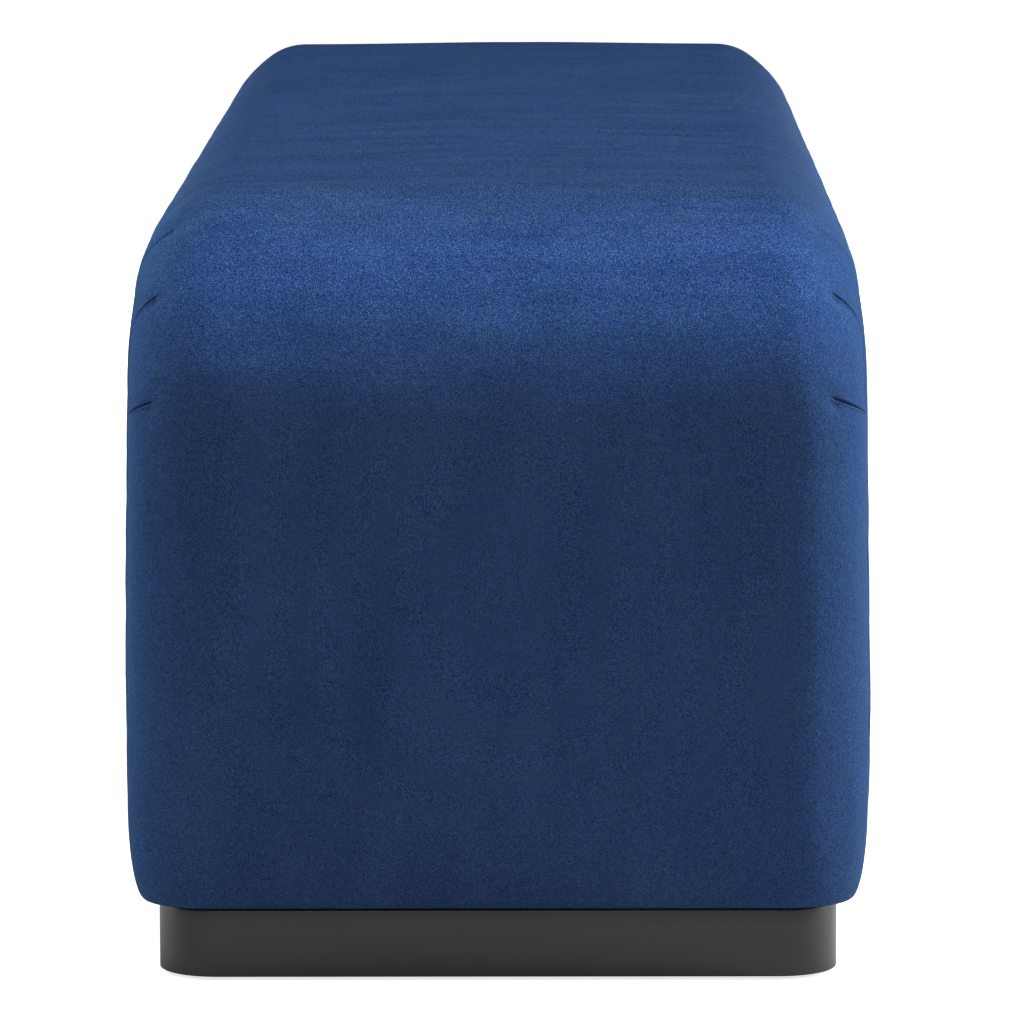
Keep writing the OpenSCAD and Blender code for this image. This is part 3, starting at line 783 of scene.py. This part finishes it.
def porous(name, light, dark, cell, depth):
    """Foam, fibre and non-woven cloth: fine cells with a soft tone."""
    material, n = new_material(name)
    cells = n.noise(cell, detail=4, roughness=0.7)
    tone = n.noise(12, detail=2)
    base = n.ramp(cells, dark, light, 0.35, 0.6)
    n.set(Base_Color=n.multiply(base, n.ramp(tone, (0.9, 0.9, 0.88), (1, 1, 1))))
    n.set(Roughness=n.scaled(tone, 0.87, 0.95))
    n.bump((cells, depth))
    return material


def strap_weave():
    """Elastic webbing: fine ribs along the strap, worn unevenly."""
    material, n = new_material("elastic_strap")
    rib = n.add("ShaderNodeTexWave", wave_type="BANDS", bands_direction="X")
    rib.inputs["Scale"].default_value = 130
    rib.inputs["Distortion"].default_value = 0.4
    n.link(n.place, rib.inputs["Vector"])
    wear = n.noise(60, detail=3)
    ribs = n.ramp(rib.outputs["Fac"], (0.02, 0.02, 0.02), (0.13, 0.12, 0.11))
    n.set(Base_Color=n.multiply(ribs, n.ramp(wear, (0.8, 0.8, 0.8), (1, 1, 1))))
    n.set(Roughness=n.scaled(wear, 0.75, 0.9))
    n.bump((rib.outputs["Fac"], 0.0004))
    return material


def steel():
    """Zinc-plated steel, finely brushed."""
    material, n = new_material("zinc_plated_steel")
    fixed(material, Metallic=1.0)
    brushed = n.noise(260, detail=3, stretch=(1, 1, 0.1))
    n.set(Base_Color=n.ramp(brushed, (0.42, 0.43, 0.44), (0.62, 0.63, 0.65)))
    n.set(Roughness=n.scaled(brushed, 0.25, 0.45))
    n.bump((brushed, 0.00005))
    return material


def nylon():
    """Pale nylon of the glides."""
    material, n = new_material("moulded_nylon")
    fixed(material, Specular_IOR_Level=0.4)
    mottle = n.noise(90, detail=3)
    n.set(Base_Color=n.ramp(mottle, (0.68, 0.67, 0.63), (0.80, 0.79, 0.76)))
    n.set(Roughness=n.scaled(mottle, 0.4, 0.55))
    n.bump((mottle, 0.0001))
    return material


# Pieces
def build_covers(material):
    wrap = grid_piece("velvet_wrap", wrap_grid(), material)
    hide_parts("cover_wrap")
    for hand, side in ((-1, "front"), (1, "back")):
        panel = grid_piece("velvet_side_" + side, side_grid(hand), material)
        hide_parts("cover_side_" + side)


def build_plinth(material):
    node = "plinth_skirt"
    band = grid_piece("plinth_band", plinth_grid(node), material)
    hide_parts(node)


# Foam pads with the size of their voxels, and the wadding's depth under the cover and thickness
PAD_VOXELS = dict(
    seat_foam=0.008, end_foam_left=0.007, end_foam_right=0.007, side_foam_front=0.007, side_foam_back=0.007
)
WADDING_TOP = 0.0065
WADDING = 0.0038


def foam_pad(node, voxel, material):
    """A softened copy of a foam pad's solid."""
    piece = nodes[node].copy()
    piece.data = nodes[node].data.copy()
    piece.name = "pad_" + node
    piece.data.name = piece.name
    # The copy doesn't keep the properties of its solid
    for key in list(piece.keys()):
        del piece[key]
    bpy.context.scene.collection.objects.link(piece)
    piece.data.materials.clear()
    remesh = piece.modifiers.new("remesh", "REMESH")
    remesh.mode = "VOXEL"
    remesh.voxel_size = voxel
    ease = piece.modifiers.new("ease", "SMOOTH")
    ease.factor = 0.5
    ease.iterations = 3
    depsgraph = bpy.context.evaluated_depsgraph_get()
    mesh = bpy.data.meshes.new_from_object(piece.evaluated_get(depsgraph))
    piece.modifiers.clear()
    piece.data = mesh
    piece.data.materials.append(material)
    piece.data.shade_smooth()
    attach(piece, "root")
    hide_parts(node)


def layer(grid, first):
    """Points and faces of the closed layer of wadding under a grid, numbered from a first point."""
    out = normals_of(grid)
    outer, inner = WADDING_TOP, WADDING_TOP + WADDING
    rows, columns = grid.shape[:2]
    points = np.concatenate([(grid - out * outer).reshape(-1, 3), (grid - out * inner).reshape(-1, 3)])
    top = grid_faces(rows, columns, first)
    below = grid_faces(rows, columns, first + rows * columns)[:, ::-1]
    index = np.arange(rows * columns).reshape(rows, columns) + first
    rim = np.concatenate([index[0, :-1], index[:-1, -1], index[-1, :0:-1], index[:0:-1, 0]])
    ahead = np.roll(rim, -1)
    wall = np.stack([ahead, rim, rim + rows * columns, ahead + rows * columns], -1)
    return points, np.concatenate([top, below, wall])


def build_wadding(material):
    points, faces = layer(wrap_grid(fine=False), 0)
    for hand in (-1, 1):
        more, panels = layer(side_grid(hand, fine=False), len(points))
        points = np.concatenate([points, more])
        faces = np.concatenate([faces, panels])
    shell = mesh_piece("fibre_wadding", points, faces, material)
    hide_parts("wadding")


# Sheets: node, name and corner radius, then the steps of their points and their slight waves
SHEETS = (("deck_cloth", "deck_sheet", 0.001), ("dust_cover", "underside_sheet", 0.034))
SHEET_STEP = 0.02
SHEET_TURNS = 13
SHEET_COLUMNS = 21
SHEET_WAVE = 0.00012
SHEET_WAVE_SIZE = 0.08
SHEET_WAVE_SEED = 31


def sheet_grid(low, high, radius):
    """A flat sheet with round corners in the middle of its solid's box."""
    turns = high.x - radius + radius * np.sin(np.linspace(0, math.pi / 2, SHEET_TURNS))
    x = mirrored(merged(spaced(0, high.x - radius, SHEET_STEP), turns))
    beyond = np.clip(np.abs(x) - high.x + radius, 0, radius)
    reach = high.y - radius + np.sqrt(radius ** 2 - beyond ** 2)
    y = reach[:, None] * np.linspace(-1, 1, SHEET_COLUMNS)
    x = np.broadcast_to(x[:, None], y.shape)
    wave = waves(np.stack([x, y, 0 * x], -1), SHEET_WAVE_SIZE, SHEET_WAVE_SEED)
    return np.stack([x, y, (low.z + high.z) / 2 + SHEET_WAVE * wave], -1)


def build_sheets(material):
    for node, name, radius in SHEETS:
        low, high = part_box(node)
        piece = grid_piece(name, sheet_grid(low, high, radius), material)
        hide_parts(node)


# Elastic straps: width, thickness, pitch, radius of the bend, and count and depth of the ribs
STRAP_W = 0.050
STRAP_T = 0.0016
STRAP_PITCH = 0.092
STRAP_BEND = STRAP_T * 0.6
RIBS = 8
RIB_POINTS = 4 * RIBS + 1
RIB_SUNK = 0.0001
RIB_DEPTH = 0.00008
# Steps along a strap: in its groove, over the frame, and the points of its rounded edges and bends
GROOVE_STEP = 0.004
SPAN_STEP = 0.02
TURN_POINTS = 7


def strap_section():
    """Outline of a strap, across it and through it: ribbed faces and rounded edges."""
    half, round_r = STRAP_W / 2, STRAP_T / 2
    across = np.linspace(-1, 1, RIB_POINTS) * (half - round_r)
    rib = RIB_DEPTH * np.cos(np.linspace(-RIBS, RIBS, RIB_POINTS) * math.pi)
    turn = np.linspace(math.pi / 2, -math.pi / 2, TURN_POINTS)[1:-1]
    cap = np.stack([half - round_r + round_r * np.cos(turn), round_r * np.sin(turn)], -1)
    above = np.stack([across, round_r - RIB_SUNK + rib], -1)
    return np.concatenate([above, cap, -above, -cap])


def strap_route(low, high):
    """Middle line of a strap in the plane across the bench, with the direction outward from it."""
    side, top = high.y - STRAP_T / 2, high.z - STRAP_T / 2
    inner, under = side - STRAP_BEND, top - STRAP_BEND
    line = [(side, z, 1.0, 0.0) for z in spaced(low.z, under, GROOVE_STEP)]
    for a in np.linspace(0, math.pi / 2, TURN_POINTS)[1:]:
        c, s = math.cos(a), math.sin(a)
        line.append((inner + STRAP_BEND * c, under + STRAP_BEND * s, c, s))
    line += [(y, top, 0.0, 1.0) for y in spaced(inner, 0, SPAN_STEP)[1:]]
    half = np.array(line)
    return np.concatenate([half, (half * [-1, 1, -1, 1])[-2::-1]])


def build_straps(material):
    low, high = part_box("webbing")
    section = strap_section()
    route = strap_route(low, high)
    count = round((high.x - low.x - STRAP_W) / STRAP_PITCH) + 1
    rings = np.zeros((len(route), len(section), 3))
    rings[..., 0] = section[:, 0]
    rings[..., 1] = route[:, None, 0] + route[:, None, 2] * section[:, 1]
    rings[..., 2] = route[:, None, 1] + route[:, None, 3] * section[:, 1]
    closed = np.concatenate([rings, rings[:, :1]], axis=1)
    points, faces = [], []
    for i in range(count):
        place = np.array([(i - (count - 1) / 2) * STRAP_PITCH, 0, 0])
        faces.append(grid_faces(*closed.shape[:2], first=i * closed[..., 0].size))
        points.append((closed + place).reshape(-1, 3))
    piece = mesh_piece("elastic_straps", np.concatenate(points), np.concatenate(faces), material)
    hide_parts("webbing")


def dress(names, material):
    """Puts a material on the solids that are shown as they are."""
    for name in names:
        if not nodes[name].material_slots:
            nodes[name].data.materials.append(material)
        for slot in nodes[name].material_slots:
            slot.link = "OBJECT"
            slot.material = material


def build_all():
    slots = {}
    for part in frame["record"]["subparts"]:
        slots.setdefault(part["material_slot"], []).append(part["node"])
    build_covers(velvet())
    build_plinth(satin_black())
    foam = porous("cream_foam", (0.86, 0.74, 0.42), (0.66, 0.54, 0.27), 420, 0.0006)
    for node, voxel in PAD_VOXELS.items():
        foam_pad(node, voxel, foam)
    build_wadding(porous("polyester_fibre", (0.90, 0.89, 0.86), (0.70, 0.69, 0.66), 160, 0.0012))
    build_sheets(porous("black_nonwoven", (0.030, 0.030, 0.032), (0.010, 0.010, 0.011), 380, 0.0002))
    dress(slots["plywood"], wood("birch_plywood", (0.74, 0.56, 0.34), (0.58, 0.41, 0.22)))
    dress(slots["softwood"], wood("pine", (0.80, 0.62, 0.38), (0.62, 0.42, 0.20), ring=22))
    dress(slots["steel"], steel())
    dress(slots["nylon"], nylon())
    build_straps(strap_weave())


# Floor: half its side, its points, and how it brightens to white with distance for the camera only
FLOOR_HALF = 60.0
FLOOR_POINTS = 9
FLOOR_GLOW = 0.75
GLOW_NEAR = 1.5
GLOW_FAR = 4.0
# Strength of the white world that the camera sees; it gives no light
WORLD_SEEN = 1.2


def build_floor():
    across = np.linspace(-FLOOR_HALF, FLOOR_HALF, FLOOR_POINTS)
    x, y = np.meshgrid(across, across, indexing="ij")
    mesh = bpy.data.meshes.new("floor")
    mesh.from_pydata(np.stack([x, y, 0 * x], -1).reshape(-1, 3).tolist(), [], grid_faces(*x.shape).tolist())
    plane = bpy.data.objects.new("floor", mesh)
    bpy.context.scene.collection.objects.link(plane)
    mesh.materials.append(pale_floor())


def pale_floor():
    """Pale floor that glows towards white away from the bench, where the camera sees it."""
    material, n = new_material("pale_floor")
    fixed(material, Roughness=0.9, Specular_IOR_Level=0.2)
    n.set(Base_Color=n.ramp(n.noise(3), (0.78, 0.78, 0.78), (0.82, 0.82, 0.82)))
    seen = n.add("ShaderNodeLightPath").outputs["Is Camera Ray"]
    away = n.add("ShaderNodeVectorMath", operation="LENGTH")
    n.link(n.place, away.inputs[0])
    glow = n.add("ShaderNodeMapRange")
    glow.inputs["From Min"].default_value = GLOW_NEAR
    glow.inputs["From Max"].default_value = GLOW_FAR
    glow.inputs["To Min"].default_value = FLOOR_GLOW
    n.link(away.outputs["Value"], glow.inputs["Value"])
    fixed(material, Emission_Color=(1, 1, 1, 1))
    n.set(Emission_Strength=n.times(seen, glow.outputs["Result"]))
    return material


def build_world():
    """White background for the camera, dark for everything else."""
    studio = bpy.data.worlds.new("studio")
    bpy.context.scene.world = studio
    studio.use_nodes = True
    tree = studio.node_tree
    back = tree.nodes["Background"]
    ray = tree.nodes.new("ShaderNodeLightPath")
    strength = tree.nodes.new("ShaderNodeMapRange")
    strength.inputs["To Max"].default_value = WORLD_SEEN
    tree.links.new(ray.outputs["Is Camera Ray"], strength.inputs["Value"])
    tree.links.new(strength.outputs["Result"], back.inputs["Strength"])
    back.inputs["Color"].default_value = (1, 1, 1, 1)


# Softboxes: place, aim, width, height and watts
LIGHTS = dict(
    overhead=((1.10, 0.30, 2.80), (0.70, 0.0, 0.40), 1.3, 2.4, 83.0),
    front=((5.00, -0.60, 1.60), (0.75, 0.0, 0.25), 2.4, 2.0, 24.0),
    right_mid=((0.00, 3.00, 1.50), (0.60, 0.2, 0.30), 1.2, 2.4, 156.0),
    right_back=((-1.80, 2.40, 1.80), (0.4, 0.2, 0.35), 1.6, 2.0, 38.0),
    left_mid=((0.00, -3.00, 1.30), (0.60, -0.2, 0.30), 1.2, 2.4, 50.0),
    left_back=((-1.80, -2.40, 1.80), (0.4, -0.2, 0.35), 1.6, 2.0, 52.0),
    back_low=((-3.20, 0.00, 0.24), (-0.75, 0.0, 0.24), 2.0, 0.4, 13.5),
)


def softbox(name, place, target, width, height, watts):
    light = bpy.data.lights.new(name, "AREA")
    light.shape = "RECTANGLE"
    light.size = width
    light.size_y = height
    light.energy = watts
    box = bpy.data.objects.new(name, light)
    bpy.context.scene.collection.objects.link(box)
    box.location = place
    box.rotation_euler = (Vector(target) - Vector(place)).to_track_quat("-Z", "Y").to_euler()
    box.visible_camera = False


def build_lights():
    for name, values in LIGHTS.items():
        softbox(name, *values)


# Camera of the photograph: distance from the end, place across, height, turns in radians, and the focal
# length and the picture's side in pixels
VIEW_FAR = 3.9778
VIEW_SIDE = 0.0369
VIEW_HIGH = 0.8384
VIEW_TILT = 0.1381
VIEW_PAN = -0.0069
VIEW_ROLL = -0.0025
VIEW_FOCAL = 6784.8
IMAGE_SIDE = 1024
# The camera's sensor in millimetres, and how far it sees
SENSOR = 36
VIEW_END = 200


def build_camera():
    flat = math.cos(VIEW_TILT)
    forward = Vector((-flat * math.cos(VIEW_PAN), flat * math.sin(VIEW_PAN), -math.sin(VIEW_TILT)))
    right = Vector((math.sin(VIEW_PAN), math.cos(VIEW_PAN), 0))
    up = right.cross(forward)
    c, s = math.cos(VIEW_ROLL), math.sin(VIEW_ROLL)
    right, up = c * right + s * up, c * up - s * right
    data = bpy.data.cameras.new("camera")
    data.sensor_width = SENSOR
    data.lens = VIEW_FOCAL / IMAGE_SIDE * SENSOR
    data.clip_end = VIEW_END
    eye = bpy.data.objects.new("camera", data)
    bpy.context.scene.collection.objects.link(eye)
    turn = Matrix((right, up, -forward)).transposed().to_4x4()
    eye.matrix_world = Matrix.Translation((LENGTH / 2 + VIEW_FAR, VIEW_SIDE, VIEW_HIGH)) @ turn
    bpy.context.scene.camera = eye


build_all()
build_floor()
build_world()
build_lights()
build_camera()
bpy.context.scene.view_settings.view_transform = "Standard"
